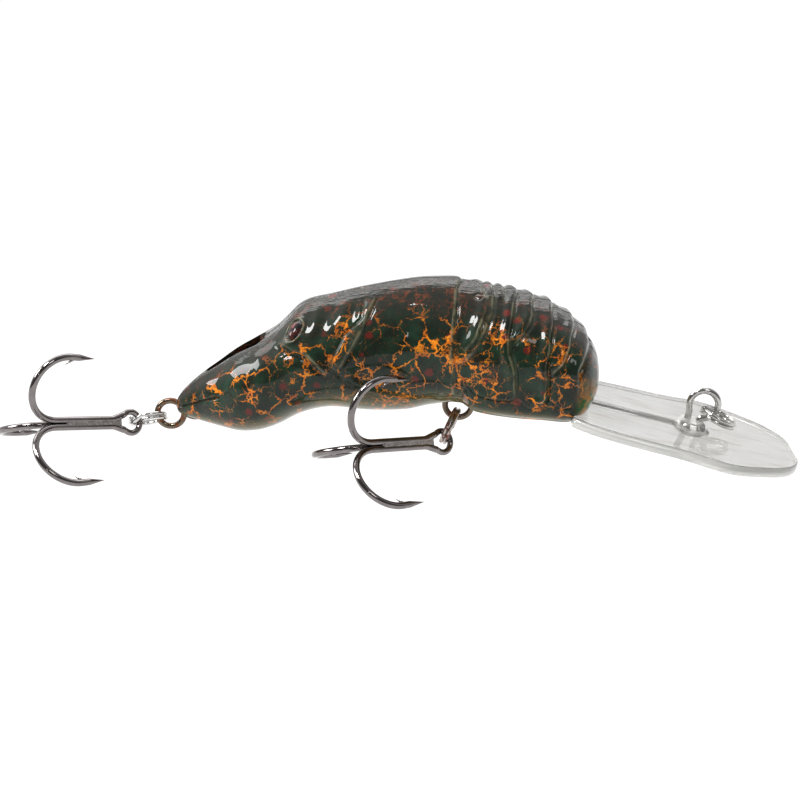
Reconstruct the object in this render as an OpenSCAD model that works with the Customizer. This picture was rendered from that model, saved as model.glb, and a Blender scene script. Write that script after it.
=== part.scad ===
// Crankbait lure, crayfish pattern. It swims with the clear lip in front and the two claws behind.
// Frame: +X towards the lip, +Z up, +Y to the lure's left. The origin is the centre of the line tie.
// Lengths are in millimetres. The drawing below counts x from the claw tips, and frame() shifts it.

/* [Body] */
// Thickness of the moulded wall
wall = 1.3; // [1.0:0.1:1.8]
// Width of the gap between the claws where it meets the head
claw_gap = 4.8; // [3.0:0.2:5.6]
// Radius of the moulded eye bumps
eye_r = 1.3; // [0.8:0.1:1.8]

/* [Lip] */
// Length of the lip from the body's chin to its tip
lip_len = 34.1; // [26:0.1:38]
// Thickness of the lip plate
lip_t = 1.3; // [1.0:0.1:1.6]
// Half the lip's width where it leaves the body
lip_root = 10.4; // [8:0.1:11]
// Angle that the lip slopes down, in degrees
lip_tilt = 14; // [8:1:18]

/* [Wire parts] */
// Wire thickness of the line tie
tie_wire = 1.0; // [0.8:0.1:1.2]
// Radius of the line tie's loop, to the middle of the wire
tie_r = 2.1; // [1.8:0.1:2.4]
// Wire thickness of the hook hangers
hanger_wire = 0.9; // [0.7:0.1:1.0]
// Radius of a hanger's loop, to the middle of the wire
hanger_r = 1.93; // [1.85:0.01:2.0]
// Radius of a split ring, to the middle of its wire
ring_r = 2.6; // [2.5:0.05:2.7]
// Wire thickness of a split ring's coils
ring_wire = 0.58; // [0.5:0.02:0.6]

/* [Treble hooks] */
// Wire thickness of a hook
hook_wire = 1.0; // [0.8:0.05:1.0]
// Length from the middle of the hook's eye to the start of the bend
hook_shank = 12.7; // [11:0.1:14]
// Radius of the hook's bend
bend_r = 4.8; // [4.2:0.1:5.2]
// Length of the point's straight leg
point_len = 3.9; // [3:0.1:5]
// Radius of the hook's eye, to the middle of the wire
hook_eye_r = 1.55; // [1.5:0.01:1.6]

/* [Inside] */
// Diameter of the ballast slug
ballast_d = 6.4; // [5:0.1:7]
// Length of the ballast slug
ballast_len = 7.5; // [5:0.5:8]
// Diameter of a rattle ball
ball_d = 4.0; // [3:0.1:4.4]

/* [Hidden] */

tie_at = [76.5, 0, 0.2];              // centre of the line tie's loop
tail_eye_at = [-0.82, 0, -1.46];      // centre of the tail hanger's loop
belly_eye_at = [41.0, 0, 0.05];       // centre of the belly hanger's loop
lip_at = [57, 0, 1.32];               // where the lip's upper face leaves the chin

fit = 0.02;                           // gap left round a moulded-in wire
slip = 0.05;                          // gap left round a part that is glued or dropped in
cut = 0.5;                            // how far a cutter runs past what it cuts

// Body sections along x: [x, top z, bottom z, half width, z of the widest line, squareness above, below].
// A squareness of 2 is an ellipse, and more is boxier.
SECTIONS = [
    [ 0.0, -0.1, -0.3,  0.1, -0.2, 2.0, 2.0],
    [ 0.4,  1.1, -1.2,  1.0, -0.1, 2.0, 2.0],
    [ 1.5,  2.5, -1.7,  1.9,  0.3, 2.0, 2.0],
    [ 3.5,  4.3, -2.3,  3.2,  0.9, 2.2, 2.0],
    [ 6.5,  6.4, -3.0,  5.2,  1.8, 2.4, 2.1],
    [ 9.5,  8.4, -3.5,  6.9,  2.5, 2.6, 2.2],
    [12.5, 10.0, -3.2,  8.1,  3.4, 2.7, 2.2],
    [15.0, 11.7, -2.4,  8.5,  4.6, 2.4, 2.1],
    [18.6, 15.2, -0.7,  8.3,  6.6, 2.1, 2.0],
    [22.5, 16.4,  0.1,  8.1,  7.8, 2.0, 2.0],
    [28.0, 17.7, -0.4,  8.1,  8.4, 2.0, 2.0],
    [33.5, 18.7, -0.3,  8.1,  8.6, 2.0, 2.0],
    [37.0, 19.0,  0.6,  8.6,  8.6, 2.0, 2.1],
    [41.3, 18.6,  1.3,  9.2,  8.4, 2.0, 2.6],
    [43.0, 18.3,  1.0,  9.7,  8.2, 2.0, 4.5],
    [48.0, 17.3,  0.3,  9.9,  7.8, 2.0, 5.0],
    [53.0, 15.7, -0.1,  9.9,  7.2, 2.1, 5.0],
    [56.5, 13.6, -0.3,  9.7,  6.6, 2.2, 5.0],
    [58.6, 11.6,  0.3,  8.6,  6.2, 2.2, 4.0],
    [60.0,  9.6,  1.4,  6.6,  5.8, 2.2, 2.6],
    [60.8,  7.8,  2.9,  4.2,  5.6, 2.0, 2.0],
    [61.1,  5.6,  5.2,  0.4,  5.4, 2.0, 2.0]
];

body_len = SECTIONS[len(SECTIONS) - 1][0];

// Smooth curve through one column of a table: cubic pieces with slopes from the neighbours.
function slope(t, c, i) =
    let (a = max(i - 1, 0), b = min(i + 1, len(t) - 1)) (t[b][c] - t[a][c]) / (t[b][0] - t[a][0]);
function piece(t, x, i = 0) = i >= len(t) - 2 || x <= t[i + 1][0] ? i : piece(t, x, i + 1);
function curve(t, c, x) =
    let (i = piece(t, x), h = t[i + 1][0] - t[i][0], s = (x - t[i][0]) / h)
    t[i][c] * (1 + 2 * s) * pow(1 - s, 2) + t[i + 1][c] * s * s * (3 - 2 * s)
    + h * slope(t, c, i) * s * pow(1 - s, 2) - h * slope(t, c, i + 1) * s * s * (1 - s);

// One point of the right half's section, from a = -90 (keel) to 90 (back), drawn in by inset.
function body_point(x, a, inset = 0) =
    let (
        up = a >= 0,
        wide = curve(SECTIONS, 4, x),
        n = curve(SECTIONS, up ? 5 : 6, x),
        tall = up ? curve(SECTIONS, 1, x) - wide : wide - curve(SECTIONS, 2, x),
        half = curve(SECTIONS, 3, x)
    )
    [x, -max(half - inset, 0.02) * pow(cos(a), 2 / n),
        wide + (tall - inset) * sign(a) * pow(abs(sin(a)), 2 / n)];

// Right half of the body, closed by a flat face on the middle plane
module half_body(xs, steps, inset = 0, past = 0) {
    ring = steps + 1;
    last = len(xs) - 1;
    points = [for (x = xs) for (k = [0:steps])
        let (p = body_point(x, -90 + 180 * k / steps, inset))
        k == 0 || k == steps ? [p[0], past, p[2]] : p];
    sides = [for (i = [0:last - 1]) for (k = [0:steps - 1])
        let (a = i * ring + k, b = a + ring)
        each [[a, a + 1, b + 1], [a, b + 1, b]]];
    seam = [for (i = [0:last - 1])
        let (a = i * ring, b = a + ring)
        each [[a, b, b + steps], [a, b + steps, a + steps]]];
    end = last * ring;
    ends = [for (k = [1:steps - 1]) each [[0, k + 1, k], [end, end + k, end + k + 1]]];
    polyhedron(points, concat(sides, seam, ends), convexity = 6);
}

// Even stations that crowd towards both ends
function stations(from, to, count) =
    [for (i = [0:count]) (from + to) / 2 - (to - from) / 2 * cos(180 * i / count) * 0.55
        - (to - from) / 2 * 0.45 * (1 - 2 * i / count)];

module frame() translate(-tie_at) children();
module in_lip() translate(lip_at) rotate([0, lip_tilt, 0]) children();
module mirrored_left() mirror([0, 1, 0]) children();

// ---- places inside the body ----
peg_d = 1.6;
PEGS = [[15.4, 4.6], [29.0, 2.6], [46.0, 12.9]];                     // [x, z] of the locating pegs
ballast_at = [50.6, 0, 6.9];
tube_od = 5.6;
tube_id = 4.5;
tube_len = 17.0;
tube_at = [20.5, 0, 11.2];                                            // the tube's closed rear end
tube_floor = 0.7;
web_t = 0.6;
RIBS = [22.5, 34.5];                                                  // bulkheads that hold the rattle tube
SADDLES = [47.6, 53.0];                                               // ribs that hold the ballast
rib_t = 1.2;
tongue_len = 7.2;
tongue_half = 6.5;
rib_w = 2.8;
rib_h = 1.3;
boss_d = 5.0;
boss_x = 18.3;                                                        // from the chin, along the lip
boss_h = 1.1;

module tube_space() translate([tube_at[0] - slip, 0, tube_at[2]]) rotate([0, 90, 0])
    cylinder(h = tube_len + 2 * slip, d = tube_od + 2 * slip, $fn = 48);
module ballast_space() translate([ballast_at[0] - ballast_len / 2 - slip, 0, ballast_at[2]])
    rotate([0, 90, 0]) cylinder(h = ballast_len + 2 * slip, d = ballast_d + 2 * slip, $fn = 48);

// What stays solid inside the right half: bulkheads, saddles, hook boss and chin block
under = -4;                                                           // a level below the whole body
side = 12;                                                            // more than half the body's width
notch_len = 6.4;                                                      // room for the belly hanger's ring
boss_wall = 2.15;                                                     // plastic beside the belly hanger
hanger_top = 7.5;
chin_from = 49;
chin_top = 3;
peg_wall = 0.9;
module right_webs() {
    for (x = RIBS) translate([x, -side, under]) cube([rib_t, side + 1, 25]);
    for (x = SADDLES) translate([x - rib_t / 2, -side, under])
        cube([rib_t, side + 1, ballast_at[2] - under]);
    translate([belly_eye_at[0] - notch_len / 2, -notch_half - boss_wall, under])
        cube([notch_len, notch_half + boss_wall + 1, hanger_top - under]);
    translate([chin_from, -side, under]) cube([body_len - chin_from, side + 1, chin_top - under]);
    for (p = PEGS) translate([p[0], 1, p[1]]) rotate([90, 0, 0])
        cylinder(h = side, d = peg_d + 2 * peg_wall, $fn = 24);
}

// Slot for the lip's tongue, and the space that the plate and its rib need under the chin
module lip_space() in_lip() {
    translate([-tongue_len - slip, -tongue_half - slip, -lip_t - slip])
        cube([tongue_len + cut, 2 * (tongue_half + slip), lip_t + 2 * slip]);
    translate([0, -side - 2, -6]) cube([side, 2 * side + 4, 6 + slip]);
    translate([0, -rib_w / 2 - slip, -lip_t / 2]) cube([9, rib_w + 2 * slip, lip_t / 2 + rib_h + slip]);
}

// Flat outline of a hanger: two loops side by side, grown by extra all round
module hanger_outline(extra) {
    circle(r = hanger_r + hanger_wire / 2 + extra, $fn = 48);
    translate([2 * hanger_r, 0]) circle(r = hanger_r + hanger_wire / 2 + extra, $fn = 48);
}
// Slab that the hanger's wire lies in, across the middle plane
module hanger_space(at, turn) translate(at) rotate([90, -turn, 0])
    linear_extrude(height = hanger_wire + 2 * fit, center = true) hanger_outline(fit);
// A figure of eight of wire: the loop outside, and the loop held between the two halves
module hanger(at, turn) translate(at) rotate([90, -turn, 0]) union() {
    rotate_extrude($fn = 64) translate([hanger_r, 0]) circle(d = hanger_wire, $fn = 32);
    translate([2 * hanger_r, 0]) rotate_extrude($fn = 64)
        translate([hanger_r, 0]) circle(d = hanger_wire, $fn = 32);
}
tail_turn = 22;                                                       // the tail hanger leans up
belly_turn = 90;

// Gap between the claws: a wedge with bevelled corners, open above and below
slot_from = 4.6;
slot_to = 13.2;
slot_corner = 0.9;
module claw_slot() translate([0, 0, -8]) linear_extrude(height = 30) polygon([
    [slot_from + 0.3, -1.0], [slot_to - 1, -claw_gap / 2], [slot_to, slot_corner - claw_gap / 2],
    [slot_to, claw_gap / 2 - slot_corner], [slot_to - 1, claw_gap / 2], [slot_from + 0.3, 1.0],
    [slot_from, 0.4], [slot_from, -0.4]
]);
eye_at = [18.3, -6.0, 12.6];
notch_half = hanger_wire / 2 + 0.6;
notch_top = 2.4;

module shell_right() difference() {
    union() {
        difference() {
            half_body(stations(0, body_len, 40), 16);
            difference() {
                half_body(stations(17, 59.0, 18), 10, wall, 0.02);
                right_webs();
            }
        }
        translate(eye_at) sphere(r = eye_r, $fn = 24);
    }
    claw_slot();
    tube_space();
    ballast_space();
    lip_space();
    hanger_space(tail_eye_at, tail_turn);
    hanger_space(belly_eye_at, belly_turn);
    translate([belly_eye_at[0] - notch_len / 2, -notch_half, under])
        cube([notch_len, 2 * notch_half + 1, notch_top - under]);
}

module body_shell_right() color([0.10, 0.14, 0.11]) frame() union() {
    shell_right();
    for (p = PEGS) translate([p[0], 1.4, p[1]]) rotate([90, 0, 0]) cylinder(h = 2.8, d = peg_d, $fn = 24);
}
module body_shell_left() color([0.12, 0.17, 0.13]) frame() difference() {
    mirrored_left() shell_right();
    for (p = PEGS) translate([p[0], 1.5, p[1]]) rotate([90, 0, 0])
        cylinder(h = 2, d = peg_d + 2 * slip, $fn = 24);
}

// Half the lip's width at a distance t from the chin: a flared neck, a paddle, and a rounded end
neck_flare = 2.8;
paddle_swell = 1.5;
end_from = 19.5;
end_square = 2.6;
function lip_half(t) =
    (lip_root + neck_flare * (1 - exp(-t / 4)) + paddle_swell * exp(-pow((t - 22) / 4.5, 2)))
    * (t < end_from ? 1 : lip_end((t - end_from) / (lip_len - end_from)));
// The end's width, from 1 where it starts to 0 at the tip
function lip_end(s) = pow(max(0, 1 - pow(s, end_square)), 1 / end_square);
lip_ts = [for (i = [0:30])
    i < 14 ? end_from * i / 14 : end_from + (lip_len - end_from) * sin(90 * (i - 14) / 16)];

module lip_outline() polygon(concat(
    [for (t = lip_ts) [t, -lip_half(t)]],
    [for (i = [29:-1:0]) [lip_ts[i], lip_half(lip_ts[i])]]));

module diving_lip() color([0.85, 0.85, 0.83, 0.5]) frame() difference() {
    in_lip() union() {
        translate([0, 0, -lip_t]) linear_extrude(height = lip_t) lip_outline();
        translate([-tongue_len, -tongue_half, -lip_t]) cube([tongue_len + 1, 2 * tongue_half, lip_t]);
        translate([1, -rib_w / 2, -lip_t / 2]) cube([boss_x - 1, rib_w, lip_t / 2 + rib_h]);
        translate([boss_x, 0, -lip_t - 0.8]) cylinder(h = lip_t + 0.8 + boss_h, d = boss_d, $fn = 48);
    }
    tie_wire_at(tie_wire + 2 * fit);
}

// The line tie: a loop whose two ends turn down side by side into the lip's boss
tie_open = 75;                        // degrees short of a half turn at which the loop's free end leaves it
tie_leg = 4.6;                        // how far the two legs reach below the loop's centre
tie_leg_gap = 0.25;                   // clear space between the feet of the two legs
module tie_wire_at(d) translate(tie_at) union() {
    arc_end = [tie_r * cos(180 + tie_open), tie_r * sin(180 + tie_open)];
    foot = [-tie_r + tie_wire + tie_leg_gap, -tie_leg];
    rotate([90, 0, 0]) rotate([0, 0, tie_open - 180]) rotate_extrude(angle = 360 - tie_open, $fn = 64)
        translate([tie_r, 0]) circle(d = d, $fn = 32);
    translate([-tie_r, 0, -tie_leg]) cylinder(h = tie_leg, d = d, $fn = 32);
    translate([arc_end[0], 0, arc_end[1]]) sphere(d = d * knuckle, $fn = 32);
    strut(arc_end, foot, d * slim);
}
module line_tie_eye() color([0.72, 0.72, 0.72]) frame() tie_wire_at(tie_wire);

// ---- split rings ----
// Centre line of a split ring: two flat turns, with a short crossing where the wire changes level
ring_gap = 24;                        // degrees left open at each wire end
ring_cross = 16;                      // half the degrees that the crossing takes
function ring_level(a) =
    a < 360 - ring_cross ? -1 : a > 360 + ring_cross ? 1 : sin(90 * (a - 360) / ring_cross);
function ring_angle(i, count) = ring_gap + (720 - 2 * ring_gap) * i / count;

module split_ring(at, lean, twist = 0, turns = 96, sides = 8) {
    lift = ring_wire / 2 - 0.01;
    points = [for (i = [0:turns]) let (a = ring_angle(i, turns)) for (k = [0:sides - 1])
        let (b = 360 * (k + 0.5) / sides, r = ring_r + ring_wire / 2 * cos(b))
        [r * cos(a), r * sin(a), lift * 1.04 * ring_level(a) + ring_wire / 2 * 0.96 * sin(b)]];
    skin = [for (i = [0:turns - 1]) for (k = [0:sides - 1])
        let (a = i * sides + k, b = i * sides + (k + 1) % sides)
        each [[a, b, b + sides], [a, b + sides, a + sides]]];
    caps = concat([[for (k = [sides - 1:-1:0]) k]], [[for (k = [0:sides - 1]) turns * sides + k]]);
    translate(at) rotate(lean) rotate([0, 0, twist]) polyhedron(points, concat(skin, caps), convexity = 8);
}
tie_ring_at = [78.63, 0, -1.71];
tie_ring_lean = [0, 27, 0];
tail_ring_at = [-4.17, -0.03, -2.29];
tail_ring_lean = [-24.7, -10.5, 0];
belly_ring_at = [39.81, -1.08, -2.82];
belly_ring_lean = [10.1, 112.4, 0];

module line_tie_split_ring() color([0.70, 0.70, 0.70]) frame() split_ring(tie_ring_at, tie_ring_lean, 200);
module tail_split_ring() color([0.78, 0.78, 0.78]) frame() split_ring(tail_ring_at, tail_ring_lean, 250);
module belly_split_ring() color([0.62, 0.55, 0.52]) frame() split_ring(belly_ring_at, belly_ring_lean, 60);

module tail_hanger_eye() color([0.25, 0.16, 0.10]) frame() hanger(tail_eye_at, tail_turn);
module belly_hanger_eye() color([0.45, 0.44, 0.38]) frame() hanger(belly_eye_at, belly_turn);

// ---- treble hooks ----
// A treble's own frame: eye at the origin in the XZ plane, shank along +X, third hook towards -Y
wire_r = hook_wire / 2;
eye_wire = hook_wire * 0.9;           // the eye's wire is drawn down a little
third_off = hook_wire * 0.87;
point_drop = 4;                       // degrees that the point's leg leans in
barb_at = 2.3;
lap = 0.05;                           // how far one length of wire runs into the next
slim = 0.98;                          // straight lengths are this much of the bend's thickness
knuckle = 1.05;                       // a joint between two lengths is this much of the wire's thickness

module rod(len, d) rotate([0, 90, 0]) cylinder(h = len, d = d, $fn = 24);
// A straight rod from one point in the XZ plane to another
module strut(from, to, d) translate([from[0], 0, from[1]])
    rotate([0, 90 - atan2(to[1] - from[1], to[0] - from[0]), 0])
    cylinder(h = norm(to - from), d = d, $fn = 24);

// A hook's tapered point with its barb, along +Z, with the barb on the -X side
module point_and_barb() union() {
    translate([0, 0, -lap]) rotate_extrude($fn = 24)
        polygon([[0, 0], [wire_r * slim, 0], [wire_r * slim, barb_at], [0.06, point_len], [0, point_len]]);
    translate([0, 0, barb_at - 0.5]) rotate([90, 0, 0]) linear_extrude(height = 0.35, center = true)
        polygon([[0, 0.9], [-0.42, 0.3], [-1.0, -0.75], [-0.35, -0.35], [0, -0.5]]);
}
// One bend with its point, opening towards +Z, starting at the origin along +X
module bend_and_point() union() {
    rotate([90, 0, 0]) translate([0, bend_r, 0]) rotate([0, 0, -90])
        rotate_extrude(angle = 180 + point_drop, $fn = 72)
        translate([bend_r, 0]) circle(d = hook_wire, $fn = 24);
    translate([0, 0, bend_r]) rotate([0, -point_drop, 0]) translate([0, 0, bend_r]) rotate([0, -90, 0])
        point_and_barb();
}
neck_x = 3.0;                         // where the eye's two wires have come together
eye_open = 48;                        // half the angle that the eye leaves open towards the shank
module double_hook() union() {
    rotate([90, 0, 0]) rotate([0, 0, eye_open]) rotate_extrude(angle = 360 - 2 * eye_open, $fn = 64)
        translate([hook_eye_r, 0]) circle(d = eye_wire, $fn = 24);
    for (side = [-1, 1]) {
        eye_end = [hook_eye_r * cos(eye_open), side * hook_eye_r * sin(eye_open)];
        neck = [neck_x, side * wire_r];
        strut(eye_end, neck, hook_wire * 0.86);
        translate([eye_end[0], 0, eye_end[1]]) sphere(d = eye_wire * knuckle, $fn = 24);
        translate([neck[0], 0, neck[1]]) sphere(d = hook_wire * knuckle, $fn = 24);
        translate([neck_x, 0, side * wire_r]) rod(hook_shank - neck_x + lap, hook_wire * slim);
        translate([hook_shank, 0, side * wire_r]) rotate([side > 0 ? -30 : -150, 0, 0]) bend_and_point();
    }
}
single_from = 3.4;
module single_hook() translate([single_from, -third_off, 0]) union() {
    rod(hook_shank - single_from + lap, hook_wire * slim);
    translate([hook_shank - single_from, 0, 0]) rotate([90, 0, 0]) bend_and_point();
}
// Brazing metal in the grooves between the three wires
braze_from = 3.6;
braze_to = 12.2;
braze_d = 1.3;
module braze() difference() {
    translate([braze_from, -third_off / 3, 0]) rod(braze_to - braze_from, braze_d);
    for (side = [-1, 1]) translate([0, 0, side * wire_r]) rod(hook_shank, hook_wire);
    translate([0, -third_off, 0]) rod(hook_shank, hook_wire);
}

module tail_treble() frame() translate([-6.66, -0.36, -2.75]) rotate([20.6, -11.6, -137.3]) children();
module belly_treble() frame() translate([38.63, -3.31, -4.51]) rotate([22.0, -9.1, -141.3]) children();

module tail_treble_double_hook() color([0.22, 0.21, 0.22]) tail_treble() double_hook();
module tail_treble_single_hook() color([0.20, 0.19, 0.20]) tail_treble() single_hook();
module tail_treble_braze() color([0.60, 0.56, 0.52]) tail_treble() braze();
module belly_treble_double_hook() color([0.24, 0.22, 0.23]) belly_treble() double_hook();
module belly_treble_single_hook() color([0.20, 0.19, 0.20]) belly_treble() single_hook();
module belly_treble_braze() color([0.60, 0.56, 0.52]) belly_treble() braze();

// ---- ballast and rattle ----
module ballast_slug() color([0.40, 0.40, 0.43]) frame()
    translate(ballast_at - [ballast_len / 2, 0, 0]) rod_fine(ballast_len, ballast_d);
module rod_fine(len, d) rotate([0, 90, 0]) cylinder(h = len, d = d, $fn = 48);

plug_len = 1.6;
cell_len = (tube_len - tube_floor - web_t - plug_len) / 2;
module rattle_tube() color([0.80, 0.80, 0.75]) frame() translate(tube_at) difference() {
    rod_fine(tube_len, tube_od);
    translate([tube_floor, 0, 0]) rod_fine(cell_len, tube_id);
    translate([tube_floor + cell_len + web_t, 0, 0]) rod_fine(tube_len, tube_id);
}
module rattle_tube_plug() color([0.55, 0.55, 0.50]) frame()
    translate(tube_at + [tube_len - plug_len, 0, 0]) rod_fine(plug_len, tube_id - 2 * fit);
ball_lift = (tube_id - ball_d) / 2 - 0.03;
module ball(x) color([0.75, 0.75, 0.78]) frame()
    translate(tube_at + [x, 0, -ball_lift]) sphere(d = ball_d, $fn = 48);
module rattle_ball_rear() ball(tube_floor + cell_len / 2);
module rattle_ball_front() ball(tube_floor + cell_len * 1.5 + web_t);

body_shell_right();
body_shell_left();
diving_lip();
line_tie_eye();
line_tie_split_ring();
tail_hanger_eye();
tail_split_ring();
tail_treble_double_hook();
tail_treble_single_hook();
tail_treble_braze();
belly_hanger_eye();
belly_split_ring();
belly_treble_double_hook();
belly_treble_single_hook();
belly_treble_braze();
ballast_slug();
rattle_tube();
rattle_tube_plug();
rattle_ball_front();
rattle_ball_rear();
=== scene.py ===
"""Looks of the crayfish crankbait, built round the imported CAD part.

Shapes are worked out in millimetres in the drawing's coordinates (x counts from the claws' tips, as in part.scad)
and are shifted to the frame, whose origin is the centre of the line tie, when a mesh is made.
"""

import math

import bpy
import numpy as np
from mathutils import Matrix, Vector


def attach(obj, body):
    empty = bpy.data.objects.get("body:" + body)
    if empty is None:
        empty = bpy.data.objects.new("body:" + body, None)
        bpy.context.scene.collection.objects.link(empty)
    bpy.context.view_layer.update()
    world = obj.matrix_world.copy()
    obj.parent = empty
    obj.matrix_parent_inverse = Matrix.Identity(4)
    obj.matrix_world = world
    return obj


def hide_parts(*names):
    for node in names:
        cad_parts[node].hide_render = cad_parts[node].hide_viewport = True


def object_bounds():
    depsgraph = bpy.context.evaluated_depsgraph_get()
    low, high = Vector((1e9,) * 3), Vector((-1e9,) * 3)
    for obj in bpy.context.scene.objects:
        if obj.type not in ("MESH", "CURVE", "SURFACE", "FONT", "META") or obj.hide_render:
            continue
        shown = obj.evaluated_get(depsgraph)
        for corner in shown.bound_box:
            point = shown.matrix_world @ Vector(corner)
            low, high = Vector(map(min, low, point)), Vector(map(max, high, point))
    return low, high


MM = 0.001
TIE_AT = np.array([76.5, 0, 0.2])

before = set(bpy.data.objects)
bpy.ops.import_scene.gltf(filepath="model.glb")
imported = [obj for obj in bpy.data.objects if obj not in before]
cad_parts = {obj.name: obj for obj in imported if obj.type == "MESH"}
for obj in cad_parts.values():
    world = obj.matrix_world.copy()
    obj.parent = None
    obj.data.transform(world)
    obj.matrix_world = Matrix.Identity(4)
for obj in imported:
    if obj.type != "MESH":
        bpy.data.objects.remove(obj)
cad_box = [[float(c) for c in corner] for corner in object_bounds()]


# ---- meshes ----
def add_piece(name, points, faces, material, body, slot, nodes, attributes=None):
    """Makes a smooth mesh from drawing points, rides it on a body, and hides the CAD nodes that it stands for."""
    mesh = bpy.data.meshes.new(name)
    mesh.from_pydata(((np.asarray(points) - TIE_AT) * MM).tolist(), [], faces)
    mesh.polygons.foreach_set("use_smooth", [True] * len(mesh.polygons))
    for key, values in (attributes or {}).items():
        mesh.attributes.new(key, "FLOAT", "POINT").data.foreach_set("value", values)
    mesh.materials.append(material)
    piece = bpy.data.objects.new(name, mesh)
    bpy.context.scene.collection.objects.link(piece)
    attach(piece, body)
    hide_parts(*nodes)
    return piece


def joined(*shells):
    """Several (points, faces) shells as one."""
    points, faces, start = [], [], 0
    for shell_points, shell_faces in shells:
        points.append(np.asarray(shell_points))
        faces += [[start + i for i in face] for face in shell_faces]
        start += len(shell_points)
    return np.concatenate(points), faces


def skin(rows, ring, flip=False, capped=True):
    """Faces over rows of points, each a closed ring."""
    faces = []
    for i in range(rows - 1):
        for k in range(ring):
            a, b = i * ring + k, i * ring + (k + 1) % ring
            faces.append([a, a + ring, b + ring, b])
    if capped:
        faces.append(list(range(ring)))
        faces.append([(rows - 1) * ring + k for k in reversed(range(ring))])
    return [face[::-1] for face in faces] if flip else faces


def sweep(path, radii, sides=18, closed=False):
    """Round wire along a path. Radii is one number or one for each point."""
    path = np.asarray(path, float)
    radii = np.broadcast_to(radii, len(path))
    ahead = np.roll(path, -1, 0) if closed else np.vstack([path[1:], 2 * path[-1] - path[-2]])
    behind = np.roll(path, 1, 0) if closed else np.vstack([2 * path[0] - path[1], path[:-1]])
    along = ahead - behind
    along /= np.linalg.norm(along, axis=1)[:, None]
    side = np.cross(along[0], [0.3, 0.5, 0.8])
    angles = 2 * math.pi * np.arange(sides) / sides
    points = []
    for centre, direction, radius in zip(path, along, radii):
        side = side - direction * (side @ direction)
        side /= np.linalg.norm(side)
        up = np.cross(direction, side)
        points.append(centre + radius * (np.outer(np.cos(angles), side) + np.outer(np.sin(angles), up)))
    faces = skin(len(path), sides, flip=True, capped=not closed)
    if closed:
        last = (len(path) - 1) * sides
        faces += [[last + k, last + (k + 1) % sides, (k + 1) % sides, k] for k in range(sides)]
    return np.concatenate(points), faces


def arc(centre, radius, start, end, count):
    """Points along an arc in the XZ plane, by degrees."""
    turn = np.radians(np.linspace(start, end, count))
    return np.column_stack([centre[0] + radius * np.cos(turn), np.full(count, centre[1]),
                            centre[2] + radius * np.sin(turn)])


def line(start, end, step=0.15):
    count = max(2, int(math.dist(start, end) / step))
    return np.linspace(start, end, count)


def eased(path, passes):
    """Rounds a path's corners a little and leaves its ends where they are."""
    path = np.array(path, float)
    for _ in range(passes):
        path[1:-1] = (path[:-2] + 2 * path[1:-1] + path[2:]) / 4
    return path


def turned(points, degrees):
    """Turns points about X, then Y, then Z."""
    a, b, c = np.radians(degrees)
    about_x = np.array([[1, 0, 0], [0, math.cos(a), -math.sin(a)], [0, math.sin(a), math.cos(a)]])
    about_y = np.array([[math.cos(b), 0, math.sin(b)], [0, 1, 0], [-math.sin(b), 0, math.cos(b)]])
    about_z = np.array([[math.cos(c), -math.sin(c), 0], [math.sin(c), math.cos(c), 0], [0, 0, 1]])
    return np.asarray(points) @ (about_z @ about_y @ about_x).T


def smooth(value, low, high):
    t = np.clip((value - low) / (high - low), 0, 1)
    return t * t * (3 - 2 * t)


def bell(distance, width):
    return np.exp(-(distance / width) ** 2)


# ---- materials ----
class Look:
    """A procedural material. Its methods add nodes and return their output sockets."""

    def __init__(self, name, **settings):
        self.material = bpy.data.materials.new(name)
        self.material.use_nodes = True
        self.tree = self.material.node_tree
        self.surface = self.tree.nodes["Principled BSDF"]
        for key, value in settings.items():
            self.surface.inputs[key.replace("_", " ")].default_value = value
        self.place = self.add("ShaderNodeTexCoord").outputs["Object"]

    def add(self, kind, inputs=(), **settings):
        node = self.tree.nodes.new(kind)
        for key, value in settings.items():
            setattr(node, key, value)
        for key, value in dict(inputs).items():
            self.connect(node.inputs[key], value)
        return node

    def connect(self, socket, value):
        if isinstance(value, bpy.types.NodeSocket):
            self.tree.links.new(value, socket)
        elif isinstance(value, (tuple, list)) and socket.type == "RGBA":
            socket.default_value = (*value[:3], 1)
        else:
            socket.default_value = value

    def set(self, key, value):
        self.connect(self.surface.inputs[key], value)

    def math(self, operation, a, b=0.0):
        return self.add("ShaderNodeMath", {0: a, 1: b}, operation=operation).outputs[0]

    def vector(self, operation, a, b):
        return self.add("ShaderNodeVectorMath", {0: a, 1: b}, operation=operation).outputs[0]

    def step(self, value, low, high, to_low=0.0, to_high=1.0):
        return self.add("ShaderNodeMapRange", {0: value, 1: low, 2: high, 3: to_low, 4: to_high},
                        interpolation_type="SMOOTHSTEP").outputs[0]

    def mix(self, amount, a, b):
        node = self.add("ShaderNodeMix", data_type="RGBA")
        self.connect(node.inputs[0], amount)
        self.connect(node.inputs[6], a)
        self.connect(node.inputs[7], b)
        return node.outputs[2]

    def noise(self, scale, detail=3.0, rough=0.55, place=None, stretch=None):
        """Noise whose scale counts features in a millimetre."""
        place = place or self.place
        if stretch:
            place = self.vector("MULTIPLY", place, stretch)
        return self.add("ShaderNodeTexNoise", {"Vector": place, "Scale": scale / MM, "Detail": detail,
                                               "Roughness": rough}).outputs

    def bump(self, height, depth, strength=1.0):
        """Depth is in millimetres."""
        node = self.add("ShaderNodeBump", {"Height": height, "Distance": depth * MM, "Strength": strength})
        self.set("Normal", node.outputs[0])


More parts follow.
